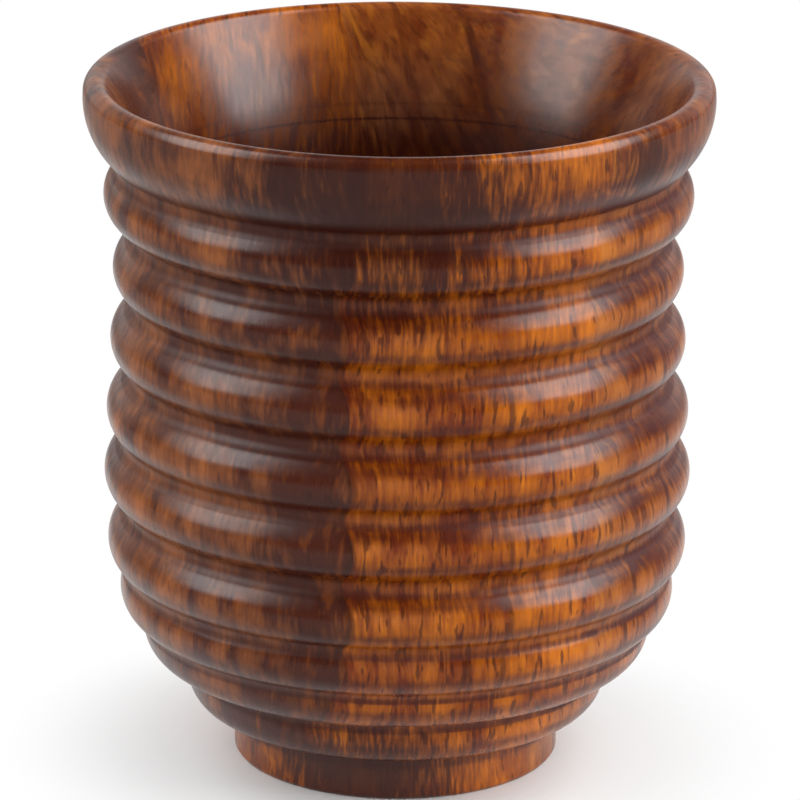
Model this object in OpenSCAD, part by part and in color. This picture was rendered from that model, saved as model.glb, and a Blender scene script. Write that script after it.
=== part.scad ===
// Handleless wooden cup, turned with ribs from a blank of three boards glued face to face.
// Millimetres. The origin is the middle of the foot's underside, and Z is the lathe axis.

/* [Overall size] */
// Height from the table to the rim
cup_h = 85; // [74:1:100]
// Diameter over the widest part of the lip
rim_d = 75.8; // [72:0.2:84]
// Diameter over the widest rib
rib_d = 71.2; // [69:0.2:74]
// Diameter of the foot
foot_d = 39.6; // [34:0.2:46]
// Height of the foot
foot_h = 6.8; // [4:0.2:8]

/* [Ribs] */
// How deep the grooves are cut between the ribs
rib_depth = 2.2; // [1:0.1:2.8]
// Radius of the round bottom of a groove
groove_r = 1.5; // [0.8:0.1:2.5]

/* [Lip] */
// Depth of the lip's widest line below the rim
lip_drop = 2.3; // [1.8:0.1:4]
// Radius of the lip's round outer face
lip_face_r = 9.9; // [8:0.1:14]
// Radius that rounds the rim over
rim_r = 1.5; // [0.8:0.1:1.8]

/* [Hollow] */
// Diameter of the straight part of the hollow
bore_d = 56.4; // [50:0.2:58]
// How far down from the rim the hollow flares
flare_h = 24; // [20:1:45]
// Height of the hollow's floor above the table
floor_h = 10; // [8:0.5:16]
// Radius between the hollow's wall and its floor
hollow_r = 18; // [10:0.5:24]

/* [Foot] */
// Radius of the foot's lower edge
foot_edge_r = 0.8; // [0.3:0.1:2]
// Diameter of the shallow recess under the foot
recess_d = 31; // [20:0.5:32]
// Depth of the recess under the foot
recess_h = 1.2; // [0.5:0.1:3]

/* [Boards] */
// Thickness of the middle board
board_w = 29.5; // [20:0.5:36]
// Distance from the lathe axis to the joint between the left and middle boards
left_joint = 20.5; // [12:0.5:24]
// Angle by which the boards are turned from the front of the cup, in degrees
board_turn = 27; // [0:1:45]

/* [Hidden] */
$fn = 128;

// Ribs from the top one down: heights of their crests as shares of cup_h
rib_height_shares = [0.833, 0.725, 0.622, 0.518, 0.425, 0.323, 0.25, 0.192, 0.117];
// and how far the crests stand out, as shares of the widest one
rib_radius_shares = [0.997, 0.967, 0.977, 0.991, 1, 0.989, 0.948, 0.869, 0.717];
// The upper ribs are about evenly spaced, and the last of them has this place in the lists
last_upper_rib = 5;
rib_pitch = cup_h * (rib_height_shares[0] - rib_height_shares[last_upper_rib]) / last_upper_rib;

// A rib and a groove are arcs that touch, and their radii add up to this at the mean pitch
arcs_r = (pow(rib_pitch / 2, 2) + pow(rib_depth, 2)) / (2 * rib_depth);
rib_r = arcs_r - groove_r;

// Arcs that follow each other overlap by this much, so that they cross and don't only touch
overlap_share = 0.0015;
overlap = groove_r * overlap_share;

// Centres and radii of the bulging arcs, from the lip down. A point is [distance from the axis, height]
lip_centre = [rim_d / 2 - lip_face_r, cup_h - lip_drop];
bulge_centres = [
    lip_centre,
    for (i = [0:len(rib_height_shares) - 1])
        [rib_d / 2 * rib_radius_shares[i] - rib_r, cup_h * rib_height_shares[i]]
];
bulge_radii = [lip_face_r, for (share = rib_height_shares) rib_r];
last_bulge = len(bulge_centres) - 1;

// The rim's rounding is drawn inside the lip's face and the flare, and stands proud of both by the overlap
inset_r = rim_r - overlap;
rim_z = cup_h - rim_r;
rim_centre = [
    lip_centre[0] + sqrt(pow(lip_face_r - inset_r, 2) - pow(rim_z - lip_centre[1], 2)),
    rim_z
];

// The flare starts upright at the top of the bore
flare_z = cup_h - flare_h;
flare_start = bore_d / 2 - overlap;
flare_out = rim_centre[0] - flare_start;
flare_up = rim_centre[1] - flare_z;
flare_r = (pow(flare_out, 2) + pow(flare_up, 2) - pow(inset_r, 2)) / (2 * (flare_out - inset_r));
flare_centre = [flare_start + flare_r, flare_z];

// The joints between the boards, measured across them from the lathe axis
right_joint = board_w - left_joint;
// Cuts and half-spaces reach this far past the cup
beyond = cup_h;

// Centre of the arc that rounds a groove between two bulges
function groove_centre(upper, upper_r, lower, lower_r) =
    let (
        along = lower - upper,
        apart = norm(along),
        to_upper = upper_r + groove_r - overlap,
        to_lower = lower_r + groove_r - overlap,
        down = (pow(to_upper, 2) - pow(to_lower, 2) + pow(apart, 2)) / (2 * apart),
        out = sqrt(pow(to_upper, 2) - pow(down, 2))
    )
    upper + down / apart * along + out / apart * [-along[1], along[0]];

function unit(v) = v / norm(v);

// One bulging arc as a full disc
module bulge(i) {
    translate(bulge_centres[i]) circle(bulge_radii[i]);
}

// Fills between two bulges down to the round bottom of their groove
module groove_fill(i) {
    upper = bulge_centres[i];
    lower = bulge_centres[i + 1];
    groove = groove_centre(upper, bulge_radii[i], lower, bulge_radii[i + 1]);
    difference() {
        polygon([upper, lower, groove]);
        translate(groove) circle(groove_r);
    }
}

// Everything below the two lines on which the rim's rounding meets the lip and the flare
module below_rim() {
    polygon([
        rim_centre,
        rim_centre + beyond * unit(rim_centre - lip_centre),
        [beyond, 0],
        [0, 0],
        [0, cup_h],
        rim_centre + rim_r * unit(rim_centre - flare_centre)
    ]);
}

// The wood inside the bulges, from the axis outwards
module core() {
    polygon([
        [0, foot_h],
        [foot_d / 2 - foot_edge_r, foot_h],
        for (i = [last_bulge:-1:0]) bulge_centres[i],
        [0, cup_h]
    ]);
}

// Half of the foot's outline, with its rounded lower edge
module foot_outline() {
    top = bulge_centres[last_bulge][1];
    translate([0, foot_edge_r]) square([foot_d / 2, top - foot_edge_r]);
    square([foot_d / 2 - foot_edge_r, top]);
    translate([foot_d / 2 - foot_edge_r, foot_edge_r]) circle(foot_edge_r);
}

// The hollow: a flared mouth, a straight bore and a rounded floor
module hollow_outline() {
    difference() {
        translate([0, flare_z]) square([rim_centre[0], flare_h + rim_r]);
        translate(flare_centre) circle(flare_r, $fn = 4 * $fn);
    }
    translate([0, floor_h + hollow_r]) square([bore_d / 2, flare_z - floor_h - hollow_r + rim_r]);
    translate([0, floor_h]) square([bore_d / 2 - hollow_r, hollow_r + rim_r]);
    translate([bore_d / 2 - hollow_r, floor_h + hollow_r]) circle(hollow_r);
}

// Half of the cup's section
module cup_outline() {
    difference() {
        union() {
            intersection() {
                union() {
                    bulge(0);
                    core();
                }
                below_rim();
            }
            for (i = [1:last_bulge]) bulge(i);
            for (i = [0:last_bulge - 1]) groove_fill(i);
            foot_outline();
        }
        hollow_outline();
        square([recess_d / 2, recess_h]);
        translate([-beyond, 0]) square([beyond, beyond]);
    }
    translate(rim_centre) circle(rim_r);
}

// The whole cup as it comes off the lathe
module turned_cup() {
    rotate_extrude() cup_outline();
}

// The part of the cup that lies between two planes across the boards
module board(from, to) {
    intersection() {
        turned_cup();
        rotate([0, 0, board_turn])
            translate([from, -beyond, -beyond])
                cube([to - from, 2 * beyond, 3 * beyond]);
    }
}

module left_board() {
    color("#5a3320") board(-beyond, -left_joint);
}

module middle_board() {
    color("#a05a24") board(-left_joint, right_joint);
}

module right_board() {
    color("#8a4a22") board(right_joint, beyond);
}

left_board();
middle_board();
right_board();
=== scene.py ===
import math
from types import SimpleNamespace

import bmesh
import bpy
from mathutils import Matrix, Vector


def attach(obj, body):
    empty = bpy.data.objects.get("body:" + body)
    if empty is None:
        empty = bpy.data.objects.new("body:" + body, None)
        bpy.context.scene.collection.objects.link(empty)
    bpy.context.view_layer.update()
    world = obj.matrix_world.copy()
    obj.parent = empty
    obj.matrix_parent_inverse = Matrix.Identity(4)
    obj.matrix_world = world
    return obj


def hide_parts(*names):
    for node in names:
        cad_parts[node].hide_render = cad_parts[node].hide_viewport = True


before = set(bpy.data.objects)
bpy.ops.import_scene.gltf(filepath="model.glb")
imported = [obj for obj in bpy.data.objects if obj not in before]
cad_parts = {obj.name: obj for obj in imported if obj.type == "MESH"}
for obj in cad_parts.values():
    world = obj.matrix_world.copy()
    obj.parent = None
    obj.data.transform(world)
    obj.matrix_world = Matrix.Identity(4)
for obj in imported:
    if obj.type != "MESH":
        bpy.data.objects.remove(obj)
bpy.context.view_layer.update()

MM = 0.001

# Sizes in millimetres, as on the turner's drawing
CUP_HEIGHT = 85.0
LIP_RADIUS = 37.9
LIP_DROP = 2.3
LIP_FACE_RADIUS = 9.9
RIM_ROUNDING = 1.5
WIDEST_RIB = 35.6
RIB_DEPTH = 2.2
GROOVE_ROUNDING = 1.5
BORE_RADIUS = 28.2
FLARE_DEPTH = 24.0
FLOOR_HEIGHT = 10.0
FLOOR_ROUNDING = 18.0
FOOT_RADIUS = 19.8
FOOT_ROUNDING = 0.8
RECESS_RADIUS = 15.5
RECESS_DEPTH = 1.2
# The inner edge of the ring that the cup stands on is worn round
WORN_EDGE = 0.3

# Ribs from the lowest one up: heights of their crests as shares of the cup's height, and how far the
# crests stand out as shares of the widest one
RIB_HEIGHT_SHARES = (0.117, 0.192, 0.25, 0.323, 0.425, 0.518, 0.622, 0.725, 0.833)
RIB_RADIUS_SHARES = (0.717, 0.869, 0.948, 0.989, 1.0, 0.991, 0.977, 0.967, 0.997)
# The upper ribs are about evenly spaced, and the lowest of them has this place in the lists
LOWEST_EVEN_RIB = 3
EVEN_GAPS = len(RIB_HEIGHT_SHARES) - 1 - LOWEST_EVEN_RIB
RIB_PITCH = CUP_HEIGHT * (RIB_HEIGHT_SHARES[-1] - RIB_HEIGHT_SHARES[LOWEST_EVEN_RIB]) / EVEN_GAPS
# A rib and a groove are arcs that touch, and at the mean pitch they make the rib's depth
RIB_ROUNDING = ((RIB_PITCH / 2) ** 2 + RIB_DEPTH ** 2) / (2 * RIB_DEPTH) - GROOVE_ROUNDING

# Centres of the lip's face and of the rim, as (radius, height)
LIP_CENTRE = (LIP_RADIUS - LIP_FACE_RADIUS, CUP_HEIGHT - LIP_DROP)
RIM_HEIGHT = CUP_HEIGHT - RIM_ROUNDING
RIM_OUT = math.sqrt((LIP_FACE_RADIUS - RIM_ROUNDING) ** 2 - (RIM_HEIGHT - LIP_CENTRE[1]) ** 2)
RIM_CENTRE = (LIP_CENTRE[0] + RIM_OUT, RIM_HEIGHT)
FLARE_START = CUP_HEIGHT - FLARE_DEPTH

# The glued boards: joints measured across them from the lathe axis
LEFT_JOINT = -20.5
RIGHT_JOINT = 9.0
BOARD_TURN = math.radians(27)
ACROSS = Vector((math.cos(BOARD_TURN), math.sin(BOARD_TURN), 0))

# The mesh: points round the lathe axis, points along the section by their spacing in millimetres, and
# the angle from which an edge shows as sharp
TURNING_STEPS = 256
SPACING = {
    "outside": 0.22, "foot_wall": 0.25, "foot_edge": 0.15, "foot_ring": 1.0, "worn_edge": 0.1,
    "recess_wall": 0.3, "recess": 2.0, "flare": 0.8, "bore": 1.2, "floor_edge": 0.9, "floor": 1.5,
}
SHARP_EDGE = math.radians(35)

# How much stain and painted shade there is, from 0 to 1: over a rib and the lip by the tilt of the
# surface in degrees, with up positive, through a groove by the share of the way up it, up the foot by
# height, and in other places. Over the ribs, under the lip and in the grooves it is stain left where no
# sandpaper reaches, together with painted shade on the flanks, the undersides and the groove bottoms.
# Up the foot there is a dark stained line at about 4.5 mm, and the foot gets darker towards the lowest rib
STAIN_AND_SHADE_OVER_RIB = (
    (-55, 0.26), (-42, 0.3), (-33, 0.54), (-24, 0.74), (-17, 0.5), (-11, 0.1), (0, 0.0), (10, 0.06),
    (19, 0.26), (27, 0.62), (35, 0.84), (43, 0.76), (50, 0.7), (55, 0.76),
)
STAIN_AND_SHADE_OVER_LIP = ((-60, 1.0), (-40, 1.0), (-27, 0.86), (-18, 0.7), (-9, 0.4), (0, 0.4), (12, 0.55))
STAIN_AND_SHADE_UP_GROOVE = ((0.0, 0.84), (0.15, 1.0), (0.3, 0.84), (0.5, 0.36), (0.8, 0.28), (1.0, 0.3))
STAIN_AND_SHADE_UP_FOOT = ((0.0, 0.5), (1.5, 0.26), (3.7, 0.26), (4.3, 0.95), (4.9, 0.95), (5.5, 0.4), (8.0, 0.7))
STAIN_ON = {"recess": 0.4, "recess_wall": 0.6, "worn_edge": 0.2, "foot_ring": 0.1, "rim": 0.35}


def linear(hex_colour):
    """An sRGB hex colour as linear red, green, blue and alpha."""
    parts = [int(hex_colour[i:i + 2], 16) / 255 for i in (1, 3, 5)]
    return tuple(p / 12.92 if p <= 0.04045 else ((p + 0.055) / 1.055) ** 2.4 for p in parts) + (1.0,)


def node(tree, kind, inputs, gives=0, **settings):
    """Adds a node with its settings, and its inputs as values or links. Returns the output asked for."""
    made = tree.nodes.new(kind)
    for name, value in settings.items():
        setattr(made, name, value)
    for key, value in inputs.items():
        if isinstance(value, bpy.types.NodeSocket):
            tree.links.new(value, made.inputs[key])
        else:
            made.inputs[key].default_value = value
    return made.outputs[gives] if len(made.outputs) else made


# The turned section

def arc(centre, radius, start, end, spacing):
    """Points along an arc, without its last one. Angles are in radians."""
    count = max(3, math.ceil(radius * abs(end - start) / spacing))
    turns = [start + (end - start) * i / count for i in range(count)]
    return [(centre[0] + radius * math.cos(t), centre[1] + radius * math.sin(t)) for t in turns]


def straight(start, end, spacing):
    """Points along a straight line, without its last one."""
    count = max(1, math.ceil(math.dist(start, end) / spacing))
    return [
        tuple(a + (b - a) * i / count for a, b in zip(start, end))
        for i in range(count)
    ]


def direction(start, end):
    """The angle at which a line runs from one point to another, in radians."""
    return math.atan2(end[1] - start[1], end[0] - start[0])


def groove_centre(lower, lower_radius, upper, upper_radius):
    """Centre of the arc that rounds a groove and touches the bulges on both its sides."""
    apart = math.dist(lower, upper)
    to_lower = lower_radius + GROOVE_ROUNDING
    to_upper = upper_radius + GROOVE_ROUNDING
    along = (to_lower ** 2 - to_upper ** 2 + apart ** 2) / (2 * apart)
    out = math.sqrt(to_lower ** 2 - along ** 2)
    ux, uz = (upper[0] - lower[0]) / apart, (upper[1] - lower[1]) / apart
    return (lower[0] + along * ux + out * uz, lower[1] + along * uz - out * ux)


def between(table, place):
    """Reads a value between the rows of a table of (place, value)."""
    for (low, first), (high, second) in zip(table, table[1:]):
        if place <= high:
            share = max(0.0, (place - low) / (high - low))
            return first + (second - first) * share
    return table[-1][1]


def by_tilt(centre, table):
    """The stain and painted shade of an arc by how far it tilts up, in degrees."""
    return lambda r, z: between(table, math.degrees(direction(centre, (r, z))))


def up_groove(centre, below, above):
    """The stain and painted shade of a groove's arc by the share of the way up it."""
    def stain(r, z):
        turn = direction(centre, (r, z)) % math.tau
        return between(STAIN_AND_SHADE_UP_GROOVE, (turn - below) / (above - below))
    return stain


def up_foot(r, z):
    """The stain and painted shade of the foot by height."""
    return between(STAIN_AND_SHADE_UP_FOOT, z)


def stained(points, stain=0.0, inside=0.0, groove=0.0):
    """Points with how much stain and painted shade they hold, a value or a function of radius and height,
    and with 1 where they are inside the hollow or in a groove."""
    return [(r, z, stain(r, z) if callable(stain) else stain, inside, groove) for r, z in points]


def foot_underside():
    """The recess under the foot, the ring that the cup stands on and the foot's rounded edge."""
    recess_corner = (RECESS_RADIUS, RECESS_DEPTH)
    worn_centre = (RECESS_RADIUS + WORN_EDGE, WORN_EDGE)
    edge_centre = (FOOT_RADIUS - FOOT_ROUNDING, FOOT_ROUNDING)
    recess = straight((0.0, RECESS_DEPTH), recess_corner, SPACING["recess"])
    recess_wall = straight(recess_corner, (RECESS_RADIUS, WORN_EDGE), SPACING["recess_wall"])
    worn_edge = arc(worn_centre, WORN_EDGE, math.pi, 1.5 * math.pi, SPACING["worn_edge"])
    ring = straight((worn_centre[0], 0.0), (edge_centre[0], 0.0), SPACING["foot_ring"])
    edge = arc(edge_centre, FOOT_ROUNDING, -math.pi / 2, 0, SPACING["foot_edge"])
    return [
        *stained(recess, STAIN_ON["recess"]),
        *stained(recess_wall, STAIN_ON["recess_wall"]),
        *stained(worn_edge, STAIN_ON["worn_edge"]),
        *stained(ring, STAIN_ON["foot_ring"]),
        *stained(edge, up_foot),
    ]


def ribbed_outside():
    """The foot's wall, the nine ribs with a rounded groove above each, and the lip's face."""
    centres = [
        (WIDEST_RIB * share - RIB_ROUNDING, CUP_HEIGHT * height)
        for share, height in zip(RIB_RADIUS_SHARES, RIB_HEIGHT_SHARES)
    ]
    radii = [RIB_ROUNDING] * len(centres)
    centres.append(LIP_CENTRE)
    radii.append(LIP_FACE_RADIUS)

    start = -math.acos((FOOT_RADIUS - centres[0][0]) / RIB_ROUNDING)
    foot_top = (FOOT_RADIUS, centres[0][1] + RIB_ROUNDING * math.sin(start))
    foot_wall = straight((FOOT_RADIUS, FOOT_ROUNDING), foot_top, SPACING["foot_wall"])
    points = stained(foot_wall, up_foot)
    for i in range(len(centres) - 1):
        lower, upper = centres[i], centres[i + 1]
        centre = groove_centre(lower, radii[i], upper, radii[i + 1])
        rib = arc(lower, radii[i], start, direction(lower, centre), SPACING["outside"])
        below = direction(centre, lower) % math.tau
        above = direction(centre, upper) % math.tau
        groove = arc(centre, GROOVE_ROUNDING, below, above, SPACING["outside"])
        points += stained(rib, by_tilt(lower, STAIN_AND_SHADE_OVER_RIB))
        points += stained(groove, up_groove(centre, below, above), groove=1.0)
        start = direction(upper, centre)
    face = arc(LIP_CENTRE, LIP_FACE_RADIUS, start, direction(LIP_CENTRE, RIM_CENTRE), SPACING["outside"])
    return points + stained(face, by_tilt(LIP_CENTRE, STAIN_AND_SHADE_OVER_LIP))


def rim_and_hollow():
    """The rim, the flared mouth, the straight wall and the rounded floor."""
    out = RIM_CENTRE[0] - BORE_RADIUS
    up = RIM_CENTRE[1] - FLARE_START
    flare_radius = (out ** 2 + up ** 2 - RIM_ROUNDING ** 2) / (2 * (out - RIM_ROUNDING))
    flare_centre = (BORE_RADIUS + flare_radius, FLARE_START)
    floor_centre = (BORE_RADIUS - FLOOR_ROUNDING, FLOOR_HEIGHT + FLOOR_ROUNDING)
    onto_rim = direction(LIP_CENTRE, RIM_CENTRE)
    into_hollow = direction(flare_centre, RIM_CENTRE)
    rim = arc(RIM_CENTRE, RIM_ROUNDING, onto_rim, into_hollow, SPACING["outside"])
    flare = arc(flare_centre, flare_radius, into_hollow, math.pi, SPACING["flare"])
    bore = straight((BORE_RADIUS, FLARE_START), (BORE_RADIUS, floor_centre[1]), SPACING["bore"])
    floor_edge = arc(floor_centre, FLOOR_ROUNDING, 0, -math.pi / 2, SPACING["floor_edge"])
    floor = straight((floor_centre[0], FLOOR_HEIGHT), (0.0, FLOOR_HEIGHT), SPACING["floor"])
    floor_middle = (0.0, FLOOR_HEIGHT)
    hollow = [*flare, *bore, *floor_edge, *floor, floor_middle]
    return stained(rim, STAIN_ON["rim"]) + stained(hollow, inside=1.0)


# The boards

def turned_cup():
    """The whole cup as it comes off the lathe, as a mesh. Each point keeps its stain and painted shade,
    inside and groove.
    """
    mesh = bmesh.new()
    layers = [mesh.verts.layers.float.new(key) for key in ("stain", "inside", "groove")]
    rings = []
    for r, z, *values in foot_underside() + ribbed_outside() + rim_and_hollow():
        turns = [0.0] if r == 0 else [math.tau * k / TURNING_STEPS for k in range(TURNING_STEPS)]
        ring = []
        for turn in turns:
            vert = mesh.verts.new((r * MM * math.cos(turn), r * MM * math.sin(turn), z * MM))
            for layer, value in zip(layers, values):
                vert[layer] = value
            ring.append(vert)
        rings.append(ring)
    for below, above in zip(rings, rings[1:]):
        for k in range(TURNING_STEPS):
            n = (k + 1) % TURNING_STEPS
            if len(below) == 1:
                mesh.faces.new((below[0], above[n], above[k]))
            elif len(above) == 1:
                mesh.faces.new((below[k], below[n], above[0]))
            else:
                mesh.faces.new((below[k], below[n], above[n], above[k]))
    for face in mesh.faces:
        face.smooth = True
    for edge in mesh.edges:
        edge.smooth = edge.calc_face_angle(0) < SHARP_EDGE
    return mesh


def saw_off(mesh, joint, side):
    """Saws along a joint, drops what is past it on that side, and closes the sawn faces."""
    sawn = bmesh.ops.bisect_plane(
        mesh,
        geom=mesh.verts[:] + mesh.edges[:] + mesh.faces[:],
        plane_co=ACROSS * joint * MM,
        plane_no=ACROSS * side,
        clear_outer=True,
    )
    cut_edges = [e for e in sawn["geom_cut"] if isinstance(e, bmesh.types.BMEdge)]
    for edge in cut_edges:
        edge.smooth = False
    bmesh.ops.triangle_fill(mesh, use_beauty=True, edges=cut_edges)


def turned_board(name, low, high):
    """The part of the turned cup between two joints, where None is no joint, as a closed piece."""
    mesh = turned_cup()
    for joint, side in ((low, -1), (high, 1)):
        if joint is not None:
            saw_off(mesh, joint, side)
    bmesh.ops.recalc_face_normals(mesh, faces=mesh.faces[:])
    data = bpy.data.meshes.new(name)
    mesh.to_mesh(data)
    mesh.free()
    board = bpy.data.objects.new(name, data)
    bpy.context.scene.collection.objects.link(board)
    return board


# The finish

# Ring-porous hardwood, turned, sanded, stained red-brown and sprayed with satin lacquer. The eye sees
# upright rows of dark open pores on amber crests, stain left dark in the grooves where no sandpaper
# reaches, darkened further by painted shade on the flanks and undersides of the ribs and in the grooves,
# and broad soft highlights from a clear film that levels the grain.
LACQUER_IOR = 1.5
LACQUER_ROUGHNESS = 0.27
# How much rougher the film is over a cloud, a stroke, the stain and painted shade, and a groove, where it
# isn't rubbed
ROUGHER_OVER = {"cloud": 0.03, "stroke": -0.06, "stain": 0.08, "groove": 0.14}
# The film follows the fibres a little and sinks into the pores, by shares of this depth in millimetres
RELIEF_DEPTH = 0.015
RELIEF_STRENGTH = 0.4
RELIEF_OF = {"fibre": 0.7, "pore": -0.4}

# Growth rings are 2.1 mm apart on the real wood. Its pores are up to 0.3 mm wide and 2 to 3 mm long and
# are drawn about twice as wide, and its fibres are drawn ten times as wide, so that both show
RING_SPACING = 2.1
FIBRE_SIZE = (0.24, 0.8, 2.6)
# Other patterns, in millimetres: how far the grain wanders and over which lengths, clouds where the wood
# took more or less stain, streaks of a neighbour's hue, and the uneven edge of the pooled stain and painted
# shade
WANDER = (2.6, 2.6, 0)
WANDER_SIZE = (13, 13, 26)
CLOUD_SIZE = (4.5, 4.5, 9)
STRAY_SIZE = (1.6, 4, 9)
POOL_EDGE_SIZE = (5, 5, 2)

# A noise texture stays mostly within these values, and strokes are drawn harder than the rest
NOISE_LOW, NOISE_HIGH = 0.3, 0.7
STROKE_LOW, STROKE_HIGH = 0.34, 0.66

# How much the fibres lighten the tone, how much darker it is in the hollow, and the shares of the streaks
# and of the pores that are left there
FIBRES_IN_TONE = 0.4
INSIDE_IN_TONE = -0.06
STREAKS_LEFT_INSIDE = 0.4
PORES_LEFT_INSIDE = 0.6
# Strays are added to noise by how near the joint is, and show over a range of the sum
STRAYS_AWAY, STRAYS_AT_JOINT = -0.12, 0.08
STRAYS_FROM, STRAYS_FULL = 0.48, 0.64
STRAYS_STRENGTH = 0.6
# Pores crowd where a growth ring starts and thin out in the clouds, and open over a range of the noise
PORES_BY_RING = 0.05
PORES_BY_CLOUD = -0.2
PORES_FROM, PORES_FULL = 0.49, 0.57

# Dark late-wood lines that run up the whole cup, in millimetres across the boards. Clouds break them
DARK_RINGS = (-20.4, -3.0, 15.6, 22.4)
DARK_RING_WIDTH = 0.44
DARK_RING_FADES = 1.4
RINGS_FROM, RINGS_WHOLE = 0.35, 0.55

# The least and most of the pooled stain and painted shade by its noise, and how far early-wood strokes keep
# them off
POOL_LEAST, POOL_MOST = 0.55, 1.3
STROKES_IN_POOL = -0.5
# The hollow is darker further down: its colour is mixed in least just below the rim and most further down, in
# millimetres below the rim
HOLLOW_DEEP_COLOUR = "#360C00"
HOLLOW_LIGHT_AT, HOLLOW_DARK_AT = 2, 16
HOLLOW_LEAST, HOLLOW_MOST = 0.36, 0.94
STROKES_IN_HOLLOW = -0.2
# Fine lines that the turner's tool left round the hollow, by height, with how dark each is
TOOL_LINES = ((71.8, 0.2), (73.6, 0.1), (78.9, 0.06))
TOOL_LINE_WIDTH = 0.3
# A burnt mark on the lip, a darker area at the front of the lip, and painted shade at the front of the
# foot: the middle of each, how far it is full and fades, in millimetres, its strength and its colour.
# Clouds and strokes pull the edge of each in and out by shares of how far it is full
DARK_MARKS_AND_SHADE = (
    ((29.5, -23.7, 80.8), 3.0, 6.4, 0.85, "#340C02"),
    ((-2.0, -37.0, 80.0), 12.0, 27.0, 0.86, "#340A00"),
    # Painted shade at the front of the foot
    ((-5.0, -18.0, 3.0), 9.0, 21.0, 0.9, "#340A00"),
)
MARKS_BY_CLOUD = 0.8
MARKS_BY_STROKE = 0.7

# Each wood has more early wood, by "lighter", over a stretch across the boards, and takes on its
# neighbour's hue in streaks over another. Those stretches, and the thickness, width and length of the
# sheets of early and late wood and of the pores, are in millimetres. The growth rings stand off the
# joints by "turn", in degrees. The last row is how strong each pattern is, and how much of the pooled
# stain and painted shade the wood holds. The pooled colour is that of the stain left in the grooves and
# of the painted shade on the flanks and undersides of the ribs
DARK_WOOD = {
    "early": "#A25C2A", "late": "#4A1E10", "pore": "#2A0C04", "pooled_and_shaded": "#3C1810", "neighbour": "#8A4408",
    "early_share": -0.08, "lighter": 0.56, "lighter_over": (-24, -34.5), "strays_over": (-25, -20.5),
    "sheets": (0.7, 2.5, 4), "pore_size": (0.7, 2.5, 3.4), "turn": 50,
    "streaks": 0.26, "clouds": 0.5, "pores": 0.32, "rings": 0.64, "holds": 0.616,
}
ORANGE_WOOD = {
    "early": "#D07208", "late": "#742A00", "pore": "#340A00", "pooled_and_shaded": "#4C1402", "neighbour": "#6A2806",
    "early_share": 0.38, "lighter": 0.13, "lighter_over": (-9, 3), "strays_over": (-17, -20.5),
    "sheets": (0.5, 4, 4), "pore_size": (0.58, 2.5, 2.8), "turn": 19,
    "streaks": 0.36, "clouds": 0.4, "pores": 0.672, "rings": 0.64, "holds": 0.88,
}
RED_WOOD = {
    "early": "#B86A26", "late": "#6E2A06", "pore": "#3C1002", "pooled_and_shaded": "#481208", "neighbour": "#C0701A",
    "early_share": 0.36, "lighter": 0.28, "lighter_over": (22, 10), "strays_over": (13, 9),
    "sheets": (0.6, 3, 4.5), "pore_size": (0.62, 2.5, 3.2), "turn": -25,
    "streaks": 0.26, "clouds": 0.38, "pores": 0.6, "rings": 0.8, "holds": 1.0912,
}


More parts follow.
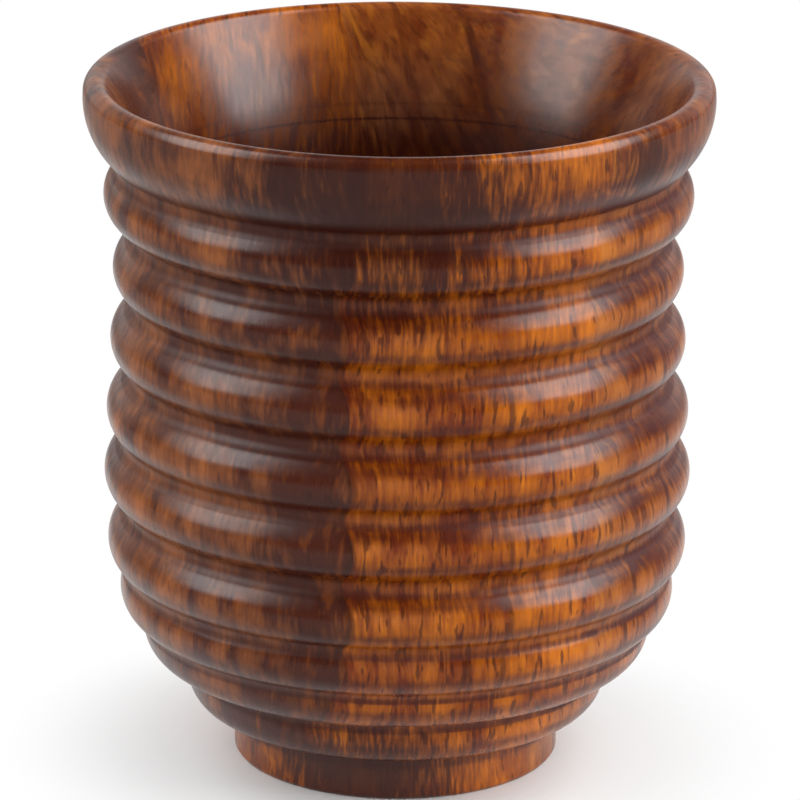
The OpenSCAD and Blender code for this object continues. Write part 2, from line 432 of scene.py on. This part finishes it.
def lay_grain(tree, wood):
    """The places and patterns that the layers of the finish read."""
    at = SimpleNamespace()
    at.inside = node(tree, "ShaderNodeAttribute", {}, gives="Fac", attribute_name="inside")
    at.stain = node(tree, "ShaderNodeAttribute", {}, gives="Fac", attribute_name="stain")
    at.groove = node(tree, "ShaderNodeAttribute", {}, gives="Fac", attribute_name="groove")

    # Millimetres, as they are and with x across the boards, y along them and z up the grain
    place = node(tree, "ShaderNodeTexCoord", {}, gives="Object")
    at.place = node(tree, "ShaderNodeVectorMath", {0: place, 1: (MM, MM, MM)}, operation="DIVIDE")
    at.grain = node(tree, "ShaderNodeMapping", {"Vector": at.place, "Rotation": (0, 0, -BOARD_TURN)})
    at.height = node(tree, "ShaderNodeSeparateXYZ", {0: at.grain}, gives=2)

    # The grain wanders by about half a millimetre over a few centimetres
    wander = node(tree, "ShaderNodeVectorMath", {0: at.grain, 1: WANDER_SIZE}, operation="DIVIDE")
    wander = node(tree, "ShaderNodeTexNoise", {"Vector": wander, "Scale": 1.0, "Detail": 2.0}, gives="Color")
    wander = node(tree, "ShaderNodeVectorMath", {0: wander, 1: (0.5, 0.5, 0.5)}, operation="SUBTRACT")
    bent = node(tree, "ShaderNodeVectorMath", {0: wander, 1: WANDER, 2: at.grain}, operation="MULTIPLY_ADD")
    at.across = node(tree, "ShaderNodeSeparateXYZ", {0: bent}, gives=0)
    turn = (0, 0, math.radians(wood["turn"]))
    at.grown = node(tree, "ShaderNodeMapping", {"Vector": bent, "Rotation": turn})

    # Sheets of early and late wood that stand along the growth rings, and fine fibres between them
    stroke = node(tree, "ShaderNodeVectorMath", {0: at.grown, 1: wood["sheets"]}, operation="DIVIDE")
    stroke = node(tree, "ShaderNodeTexNoise", {
        "Vector": stroke, "Scale": 1.0, "Detail": 2.0, "Roughness": 0.55,
    })
    at.stroke = node(tree, "ShaderNodeMapRange", {
        "Value": stroke, "From Min": STROKE_LOW, "From Max": STROKE_HIGH, "To Min": -0.5, "To Max": 0.5,
    })
    fibre = node(tree, "ShaderNodeVectorMath", {0: at.grown, 1: FIBRE_SIZE}, operation="DIVIDE")
    at.fibre = node(tree, "ShaderNodeTexNoise", {"Vector": fibre, "Scale": 1.0, "Detail": 1.0})

    # Clouds where the wood took more or less stain
    cloud = node(tree, "ShaderNodeVectorMath", {0: bent, 1: CLOUD_SIZE}, operation="DIVIDE")
    at.cloud = node(tree, "ShaderNodeTexNoise", {
        "Vector": cloud, "Scale": 1.0, "Detail": 3.0, "Roughness": 0.55,
    })

    # Rows of open pores where each growth ring starts, thick in some places and thin in others
    phase = node(tree, "ShaderNodeSeparateXYZ", {0: at.grown}, gives=0)
    phase = node(tree, "ShaderNodeMath", {0: phase, 1: math.tau / RING_SPACING}, operation="MULTIPLY")
    row = node(tree, "ShaderNodeMath", {0: phase}, operation="COSINE")
    pore = node(tree, "ShaderNodeVectorMath", {0: at.grown, 1: wood["pore_size"]}, operation="DIVIDE")
    pore = node(tree, "ShaderNodeTexNoise", {"Vector": pore, "Scale": 1.0, "Detail": 1.0})
    pore = node(tree, "ShaderNodeMath", {0: row, 1: PORES_BY_RING, 2: pore}, operation="MULTIPLY_ADD")
    pore = node(tree, "ShaderNodeMath", {0: at.cloud, 1: PORES_BY_CLOUD, 2: pore}, operation="MULTIPLY_ADD")
    pore = node(tree, "ShaderNodeMapRange", {"Value": pore, "From Min": PORES_FROM, "From Max": PORES_FULL},
                interpolation_type="SMOOTHSTEP")
    left = node(tree, "ShaderNodeMapRange", {"Value": at.inside, "To Min": 1.0, "To Max": PORES_LEFT_INSIDE})
    at.pore = node(tree, "ShaderNodeMath", {0: pore, 1: left}, operation="MULTIPLY")
    return at


def colour_wood(tree, wood, at):
    """Early and late wood, streaks of the neighbour's hue near a joint, pores and dark rings."""
    mottle = node(tree, "ShaderNodeMapRange", {
        "Value": at.cloud, "From Min": NOISE_LOW, "From Max": NOISE_HIGH,
        "To Min": -wood["clouds"], "To Max": wood["clouds"],
    })
    # The fibres' noise is 0.5 on average, which is taken off here
    low, high = wood["lighter_over"]
    least = wood["early_share"] - 0.5 * FIBRES_IN_TONE
    shift = node(tree, "ShaderNodeMapRange", {
        "Value": at.across, "From Min": low, "From Max": high,
        "To Min": least, "To Max": least + wood["lighter"],
    })
    streaks = node(tree, "ShaderNodeMapRange", {
        "Value": at.inside, "To Min": wood["streaks"], "To Max": STREAKS_LEFT_INSIDE * wood["streaks"],
    })
    tone = node(tree, "ShaderNodeMath", {0: at.stroke, 1: streaks, 2: shift}, operation="MULTIPLY_ADD")
    tone = node(tree, "ShaderNodeMath", {0: tone, 1: mottle}, operation="ADD")
    tone = node(tree, "ShaderNodeMath", {0: at.inside, 1: INSIDE_IN_TONE, 2: tone}, operation="MULTIPLY_ADD")
    tone = node(tree, "ShaderNodeMath", {0: at.fibre, 1: FIBRES_IN_TONE, 2: tone},
                operation="MULTIPLY_ADD", use_clamp=True)
    colour = node(tree, "ShaderNodeMix", {0: tone, 6: linear(wood["late"]), 7: linear(wood["early"])},
                  gives=2, data_type="RGBA")

    # Near a joint the wood takes on its neighbour's hue in upright streaks
    low, high = wood["strays_over"]
    near = node(tree, "ShaderNodeMapRange", {
        "Value": at.across, "From Min": low, "From Max": high,
        "To Min": STRAYS_AWAY, "To Max": STRAYS_AT_JOINT,
    })
    strays = node(tree, "ShaderNodeVectorMath", {0: at.grown, 1: STRAY_SIZE}, operation="DIVIDE")
    strays = node(tree, "ShaderNodeTexNoise", {"Vector": strays, "Scale": 1.0, "Detail": 2.0})
    strays = node(tree, "ShaderNodeMath", {0: strays, 1: near}, operation="ADD")
    strays = node(tree, "ShaderNodeMapRange", {
        "Value": strays, "From Min": STRAYS_FROM, "From Max": STRAYS_FULL,
        "To Min": 0.0, "To Max": STRAYS_STRENGTH,
    }, interpolation_type="SMOOTHSTEP")
    colour = node(tree, "ShaderNodeMix", {0: strays, 6: colour, 7: linear(wood["neighbour"])},
                  gives=2, data_type="RGBA")

    # Dark late-wood lines, each broken here and there, and the pores
    rings = 0.0
    for ring in DARK_RINGS:
        off = node(tree, "ShaderNodeMath", {0: at.across, 1: ring}, operation="SUBTRACT")
        off = node(tree, "ShaderNodeMath", {0: off}, operation="ABSOLUTE")
        line = node(tree, "ShaderNodeMapRange", {
            "Value": off, "From Min": DARK_RING_WIDTH / 2, "From Max": DARK_RING_WIDTH * DARK_RING_FADES,
            "To Min": 1.0, "To Max": 0.0,
        }, interpolation_type="SMOOTHSTEP")
        rings = node(tree, "ShaderNodeMath", {0: line, 1: rings}, operation="MAXIMUM")
    whole = node(tree, "ShaderNodeMapRange", {
        "Value": at.cloud, "From Min": RINGS_FROM, "From Max": RINGS_WHOLE,
    })
    rings = node(tree, "ShaderNodeMath", {0: rings, 1: whole}, operation="MULTIPLY")
    rings = node(tree, "ShaderNodeMath", {0: rings, 1: wood["rings"]}, operation="MULTIPLY")
    pores = node(tree, "ShaderNodeMath", {0: at.pore, 1: wood["pores"]}, operation="MULTIPLY")
    dark = node(tree, "ShaderNodeMath", {0: pores, 1: rings}, operation="MAXIMUM")
    return node(tree, "ShaderNodeMix", {0: dark, 6: colour, 7: linear(wood["pore"])},
                gives=2, data_type="RGBA")


def pool_stain(tree, wood, at, colour):
    """Stain left in the grooves and on the flanks of the ribs, together with painted shade there and under
    the lip, with an uneven edge.
    """
    edge = node(tree, "ShaderNodeVectorMath", {0: at.grain, 1: POOL_EDGE_SIZE}, operation="DIVIDE")
    edge = node(tree, "ShaderNodeTexNoise", {"Vector": edge, "Scale": 1.0, "Detail": 4.0, "Roughness": 0.6})
    edge = node(tree, "ShaderNodeMapRange", {
        "Value": edge, "From Min": NOISE_LOW, "From Max": NOISE_HIGH,
        "To Min": POOL_LEAST, "To Max": POOL_MOST,
    })
    edge = node(tree, "ShaderNodeMath", {0: at.stroke, 1: STROKES_IN_POOL, 2: edge}, operation="MULTIPLY_ADD")
    pooled_and_shaded = node(tree, "ShaderNodeMath", {0: at.stain, 1: edge}, operation="MULTIPLY", use_clamp=True)
    pooled_and_shaded = node(tree, "ShaderNodeMath", {0: pooled_and_shaded, 1: wood["holds"]}, operation="MULTIPLY", use_clamp=True)
    return node(tree, "ShaderNodeMix", {0: pooled_and_shaded, 6: colour, 7: linear(wood["pooled_and_shaded"])},
                gives=2, data_type="RGBA")


def darken_hollow(tree, at, colour):
    """Colour that gets darker down the hollow, and fine lines from the turner's tool."""
    deep = node(tree, "ShaderNodeMapRange", {
        "Value": at.height, "From Min": CUP_HEIGHT - HOLLOW_DARK_AT, "From Max": CUP_HEIGHT - HOLLOW_LIGHT_AT,
        "To Min": HOLLOW_MOST, "To Max": HOLLOW_LEAST,
    })
    deep = node(tree, "ShaderNodeMath", {0: at.stroke, 1: STROKES_IN_HOLLOW, 2: deep},
                operation="MULTIPLY_ADD", use_clamp=True)
    for line_height, strength in TOOL_LINES:
        off = node(tree, "ShaderNodeMath", {0: at.height, 1: line_height}, operation="SUBTRACT")
        off = node(tree, "ShaderNodeMath", {0: off}, operation="ABSOLUTE")
        line = node(tree, "ShaderNodeMapRange", {
            "Value": off, "From Min": 0.0, "From Max": TOOL_LINE_WIDTH, "To Min": strength, "To Max": 0.0,
        }, interpolation_type="SMOOTHSTEP")
        deep = node(tree, "ShaderNodeMath", {0: deep, 1: line}, operation="ADD", use_clamp=True)
    deep = node(tree, "ShaderNodeMath", {0: deep, 1: at.inside}, operation="MULTIPLY")
    return node(tree, "ShaderNodeMix", {0: deep, 6: colour, 7: linear(HOLLOW_DEEP_COLOUR)},
                gives=2, data_type="RGBA")


def add_marks_and_shade(tree, at, colour):
    """The burnt mark on the lip, the darker area at the front of the lip, and painted shade at the front of
    the foot.
    """
    outside = node(tree, "ShaderNodeMath", {0: 1.0, 1: at.inside}, operation="SUBTRACT")
    for middle, full, fades, strength, hue in DARK_MARKS_AND_SHADE:
        mark = node(tree, "ShaderNodeVectorMath", {0: at.place, 1: middle},
                    gives="Value", operation="DISTANCE")
        mark = node(tree, "ShaderNodeMath", {0: at.cloud, 1: MARKS_BY_CLOUD * full, 2: mark},
                    operation="MULTIPLY_ADD")
        mark = node(tree, "ShaderNodeMath", {0: at.stroke, 1: MARKS_BY_STROKE * full, 2: mark},
                    operation="MULTIPLY_ADD")
        mark = node(tree, "ShaderNodeMapRange", {
            "Value": mark, "From Min": full, "From Max": fades, "To Min": strength, "To Max": 0.0,
        }, interpolation_type="SMOOTHSTEP")
        mark = node(tree, "ShaderNodeMath", {0: mark, 1: outside}, operation="MULTIPLY")
        colour = node(tree, "ShaderNodeMix", {0: mark, 6: colour, 7: linear(hue)}, gives=2, data_type="RGBA")
    return colour


def lacquer(tree, at, colour):
    """The satin film, with fine pits at the pores. It is dull in the grooves, where it isn't rubbed."""
    relief = node(tree, "ShaderNodeMath", {0: at.fibre, 1: RELIEF_OF["fibre"]}, operation="MULTIPLY")
    relief = node(tree, "ShaderNodeMath", {0: at.pore, 1: RELIEF_OF["pore"], 2: relief},
                  operation="MULTIPLY_ADD")
    relief = node(tree, "ShaderNodeBump", {
        "Height": relief, "Strength": RELIEF_STRENGTH, "Distance": RELIEF_DEPTH * MM,
    })
    sheen = node(tree, "ShaderNodeMapRange", {
        "Value": at.cloud, "From Min": NOISE_LOW, "From Max": NOISE_HIGH,
        "To Min": LACQUER_ROUGHNESS - ROUGHER_OVER["cloud"],
        "To Max": LACQUER_ROUGHNESS + ROUGHER_OVER["cloud"],
    })
    for what, where in (("stroke", at.stroke), ("stain", at.stain), ("groove", at.groove)):
        sheen = node(tree, "ShaderNodeMath", {0: where, 1: ROUGHER_OVER[what], 2: sheen},
                     operation="MULTIPLY_ADD")
    return node(tree, "ShaderNodeBsdfPrincipled", {
        "Base Color": colour, "Roughness": sheen, "IOR": LACQUER_IOR, "Normal": relief,
    })


def stained_wood(name, wood):
    """One board's wood under the stain and the lacquer, with painted shade in the grooves, under the ribs and
    the lip, and at the front of the foot.
    """
    material = bpy.data.materials.new(name)
    material.use_nodes = True
    tree = material.node_tree
    tree.nodes.clear()
    at = lay_grain(tree, wood)
    colour = colour_wood(tree, wood, at)
    colour = pool_stain(tree, wood, at, colour)
    colour = darken_hollow(tree, at, colour)
    colour = add_marks_and_shade(tree, at, colour)
    node(tree, "ShaderNodeOutputMaterial", {"Surface": lacquer(tree, at, colour)})
    return material


# Each board's slot in the record, and the joints that it lies between
BOARDS = {
    "left_board": ("dark_wood", None, LEFT_JOINT),
    "middle_board": ("orange_wood", LEFT_JOINT, RIGHT_JOINT),
    "right_board": ("red_wood", RIGHT_JOINT, None),
}
finishes = {
    "dark_wood": stained_wood("dark_stained_wood", DARK_WOOD),
    "orange_wood": stained_wood("orange_stained_wood", ORANGE_WOOD),
    "red_wood": stained_wood("red_stained_wood", RED_WOOD),
}
for board_name, (slot, low_joint, high_joint) in BOARDS.items():
    board = turned_board(board_name + "_turned", low_joint, high_joint)
    board.data.materials.append(finishes[slot])
    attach(board, "root")
    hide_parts(board_name)


# The studio: white paper under and behind the cup, two soft boxes at its sides, and a soft fill in front

# The floor, in metres from the lathe axis. The paper starts at the front of the cup, lies to both sides
# and is a little wider towards the back. Next to the foot it takes the cup's shadow
FLOOR_SIZE = 30
PAPER = "#EEEEEE"
TABLE_TOP = "#A0A0A0"
PAPER_STARTS, PAPER_FULL = -0.046, -0.018
PAPER_SIDE, PAPER_ENDS = 0.052, 0.14
PAPER_WIDENS = 0.06
SHADOW_FULL, SHADOW_ENDS = 0.016, 0.05

# The backdrop, by how far a direction points back and up, from 0 to 1, and the level of the dark room
BACKDROP = "#E7E7E7"
BACKDROP_STARTS, BACKDROP_FULL = 0.45, 0.85
BACKDROP_TOP, BACKDROP_ENDS = 0.25, 0.7
ROOM_LEVEL = 0.06

# The camera, as fitted to the cup's outline: place in metres, lens in millimetres, angles in degrees
CAMERA_PLACE = (0, -0.74544, 0.28149)
CAMERA_LENS = 289.9
CAMERA_SENSOR = 36.0
CAMERA_LOOKS_DOWN = 17.644
CAMERA_TURN = -0.0229
CAMERA_ROLL = 0.379


def seamless_paper():
    """Matt white seamless paper, even and without gloss, on a pale grey table top. Clear of the cup's
    shadow it shows as plain white."""
    material = bpy.data.materials.new("seamless_paper")
    material.use_nodes = True
    tree = material.node_tree
    tree.nodes.clear()
    place = node(tree, "ShaderNodeTexCoord", {}, gives="Object")
    side = node(tree, "ShaderNodeSeparateXYZ", {0: place}, gives=0)
    side = node(tree, "ShaderNodeMath", {0: side}, operation="ABSOLUTE")
    back = node(tree, "ShaderNodeSeparateXYZ", {0: place}, gives=1)
    side = node(tree, "ShaderNodeMath", {0: back, 1: -PAPER_WIDENS, 2: side}, operation="MULTIPLY_ADD")
    strip = node(tree, "ShaderNodeMapRange", {
        "Value": side, "From Min": PAPER_SIDE, "From Max": PAPER_ENDS, "To Min": 1.0, "To Max": 0.0,
    }, interpolation_type="SMOOTHSTEP")
    papered = node(tree, "ShaderNodeMapRange", {
        "Value": back, "From Min": PAPER_STARTS, "From Max": PAPER_FULL,
    }, interpolation_type="SMOOTHSTEP")
    papered = node(tree, "ShaderNodeMath", {0: papered, 1: strip}, operation="MULTIPLY")
    tone = node(tree, "ShaderNodeMix", {0: papered, 6: linear(TABLE_TOP), 7: linear(PAPER)},
                gives=2, data_type="RGBA")

    # The same white shows to the camera and in the gloss of the lacquer
    distance = node(tree, "ShaderNodeVectorMath", {0: place}, gives="Value", operation="LENGTH")
    clear = node(tree, "ShaderNodeMapRange", {
        "Value": distance, "From Min": SHADOW_FULL, "From Max": SHADOW_ENDS,
    }, interpolation_type="SMOOTHSTEP")
    clear = node(tree, "ShaderNodeMath", {0: clear, 1: papered}, operation="MULTIPLY")
    seen = node(tree, "ShaderNodeLightPath", {}, gives="Is Camera Ray")
    for ray in ("Is Glossy Ray", "Is Transmission Ray"):
        also = node(tree, "ShaderNodeLightPath", {}, gives=ray)
        seen = node(tree, "ShaderNodeMath", {0: seen, 1: also}, operation="MAXIMUM")
    share = node(tree, "ShaderNodeMath", {0: clear, 1: seen}, operation="MULTIPLY")
    matt = node(tree, "ShaderNodeBsdfDiffuse", {"Color": tone})
    white = node(tree, "ShaderNodeEmission", {"Color": linear("#FFFFFF"), "Strength": 1.0})
    mixed = node(tree, "ShaderNodeMixShader", {0: share, 1: matt, 2: white})
    node(tree, "ShaderNodeOutputMaterial", {"Surface": mixed})
    return material


def place_floor():
    bpy.ops.mesh.primitive_plane_add(size=FLOOR_SIZE)
    floor = bpy.context.object
    floor.name = "studio_floor"
    floor.data.materials.append(seamless_paper())


def place_soft_box(name, azimuth, elevation, width, height, radiance, lean=0.0, distance=2.2):
    """A soft box that faces the cup. Azimuth 0 is the camera's side, and positive is its right. Angles are
    in degrees and lengths in metres."""
    data = bpy.data.lights.new(name, "AREA")
    data.shape = "RECTANGLE"
    data.size, data.size_y = width, height
    data.energy = radiance * math.pi * width * height
    lamp = bpy.data.objects.new(name, data)
    a, e = math.radians(azimuth), math.radians(elevation)
    towards = Vector((math.sin(a) * math.cos(e), -math.cos(a) * math.cos(e), math.sin(e)))
    turn = towards.to_track_quat("Z", "Y").to_matrix().to_4x4() @ Matrix.Rotation(math.radians(lean), 4, "Z")
    lamp.matrix_world = Matrix.Translation(Vector((0, 0, CUP_HEIGHT * MM / 2)) + towards * distance) @ turn
    bpy.context.scene.collection.objects.link(lamp)
    return lamp


def light_the_world():
    """A pale backdrop behind the cup, and a dark room at the camera's side and overhead."""
    world = bpy.data.worlds.new("studio_surround")
    bpy.context.scene.world = world
    world.use_nodes = True
    tree = world.node_tree
    tree.nodes.clear()
    place = node(tree, "ShaderNodeTexCoord", {}, gives="Generated")
    back = node(tree, "ShaderNodeSeparateXYZ", {0: place}, gives=1)
    up = node(tree, "ShaderNodeSeparateXYZ", {0: place}, gives=2)
    behind = node(tree, "ShaderNodeMapRange", {
        "Value": back, "From Min": BACKDROP_STARTS, "From Max": BACKDROP_FULL,
    }, interpolation_type="SMOOTHSTEP")
    low = node(tree, "ShaderNodeMapRange", {
        "Value": up, "From Min": BACKDROP_TOP, "From Max": BACKDROP_ENDS, "To Min": 1.0, "To Max": 0.0,
    }, interpolation_type="SMOOTHSTEP")
    level = node(tree, "ShaderNodeMath", {0: behind, 1: low}, operation="MULTIPLY")
    level = node(tree, "ShaderNodeMath", {0: level, 1: ROOM_LEVEL}, operation="MAXIMUM")
    light = node(tree, "ShaderNodeBackground", {"Color": linear(BACKDROP), "Strength": level})
    node(tree, "ShaderNodeOutputWorld", {"Surface": light})


def place_camera():
    """The camera at the photo's angle."""
    data = bpy.data.cameras.new("camera")
    data.sensor_width = CAMERA_SENSOR
    data.lens = CAMERA_LENS
    camera = bpy.data.objects.new("camera", data)
    turn = (
        Matrix.Rotation(math.radians(CAMERA_TURN), 4, "Z")
        @ Matrix.Rotation(math.radians(90 - CAMERA_LOOKS_DOWN), 4, "X")
        @ Matrix.Rotation(math.radians(CAMERA_ROLL), 4, "Z")
    )
    camera.matrix_world = Matrix.Translation(CAMERA_PLACE) @ turn
    bpy.context.scene.collection.objects.link(camera)
    bpy.context.scene.camera = camera


place_floor()
place_soft_box("left_soft_box", azimuth=-88, elevation=40, width=1.2, height=2.3, radiance=4.9, lean=34)
place_soft_box("right_soft_box", azimuth=83, elevation=40, width=1.35, height=2.5, radiance=6.2, lean=-34)
# The fill stands for light that comes back from the whole room, so it has no outline in the lacquer
fill = place_soft_box(
    "front_fill", azimuth=0, elevation=10, width=1.2, height=1.2, radiance=3.4, distance=1.6,
)
fill.visible_glossy = False
light_the_world()
place_camera()
bpy.context.scene.view_settings.view_transform = "Standard"
